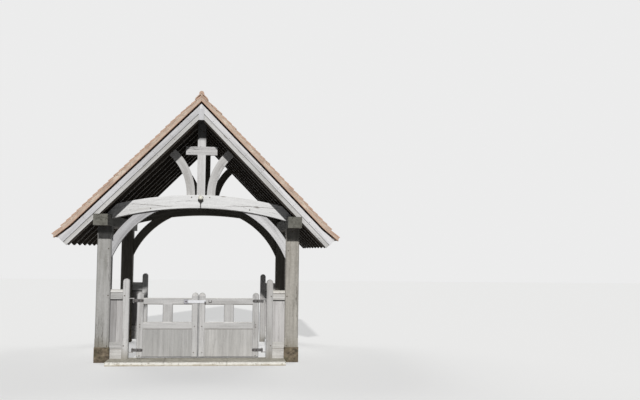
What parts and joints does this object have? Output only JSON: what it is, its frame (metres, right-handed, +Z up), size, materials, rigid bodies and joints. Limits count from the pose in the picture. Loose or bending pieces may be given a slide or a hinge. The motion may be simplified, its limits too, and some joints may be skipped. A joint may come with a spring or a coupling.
{
  "type": "lychgate",
  "caption": "Open timber lychgate: square posts on stone pads, arch-braced trusses, steep tiled gable roof, side screens and a pair of framed gates with a latch.",
  "frame": {"origin": "on the ground at the middle of the plan, the bottom centre of the bounding box", "axes": "+X to the right seen from the road, +Y in through the gate from the road side, +Z up"},
  "size_m": [4.072, 3.626, 3.9166],
  "materials": {
    "oak": "weathered, unpainted",
    "barge_oak": "bleached silver-grey",
    "shaded_oak": "matt, sheltered",
    "roof_boarding": "matt, sheltered",
    "clay_tile": "matt clay with lichen",
    "pad_stone": "rough",
    "step_stone": "worn",
    "white_stone": "white paint, worn",
    "black_iron": "forged, rust spots",
    "galvanised": "dull zinc",
    "lamp_shell": "cream, satin"
  },
  "bodies": {
    "lychgate": {"padstones": "pad_stone", "post_front_left": "oak", "post_front_right": "oak", "post_rear_left": "oak", "post_rear_right": "oak", "wall_plate_left": "oak", "wall_plate_right": "oak", "tie_beam_front": "oak", "tie_beam_rear": "oak", "arch_braces_front": "oak", "arch_braces_rear": "oak", "king_post_front": "oak", "king_post_rear": "oak", "cross_arm": "oak", "king_struts_front": "oak", "king_struts_rear": "oak", "principal_rafters": "shaded_oak", "common_rafters": "shaded_oak", "ridge_board": "shaded_oak", "roof_boards_left": "roof_boarding", "roof_boards_right": "roof_boarding", "battens": "shaded_oak", "bargeboard_front_left": "barge_oak", "bargeboard_front_right": "barge_oak", "bargeboard_rear_left": "barge_oak", "bargeboard_rear_right": "barge_oak", "barge_covers": "barge_oak", "barge_keys": "barge_oak", "tiles_left": "clay_tile", "tiles_right": "clay_tile", "ridge_tiles": "clay_tile", "screen_posts": "oak", "screen_rails": "oak", "screen_boards": "oak", "threshold": "step_stone", "step_nosing": "white_stone", "hinge_hooks": "black_iron", "lamp": "lamp_shell"},
    "left_gate": {"gate_frame_left": "oak", "gate_boards_left": "oak", "gate_irons_left": "black_iron"},
    "right_gate": {"gate_frame_right": "oak", "gate_boards_right": "oak", "gate_irons_right": "black_iron"},
    "latch": {"latch_bar": "galvanised"}
  },
  "joints": [
    {"name": "left_gate_hinge", "type": "hinge", "parent": "lychgate", "child": "left_gate", "pos_m": [-0.94, -1.309, 0.5], "axis": [0, 0, 1], "range_deg": [0, 90]},
    {"name": "right_gate_hinge", "type": "hinge", "parent": "lychgate", "child": "right_gate", "pos_m": [0.94, -1.309, 0.5], "axis": [0, 0, -1], "range_deg": [0, 90]},
    {"name": "latch_pivot", "type": "hinge", "parent": "left_gate", "child": "latch", "pos_m": [-0.182, -1.314, 0.878], "axis": [0, -1, 0], "range_deg": [0, 80]}
  ]
}
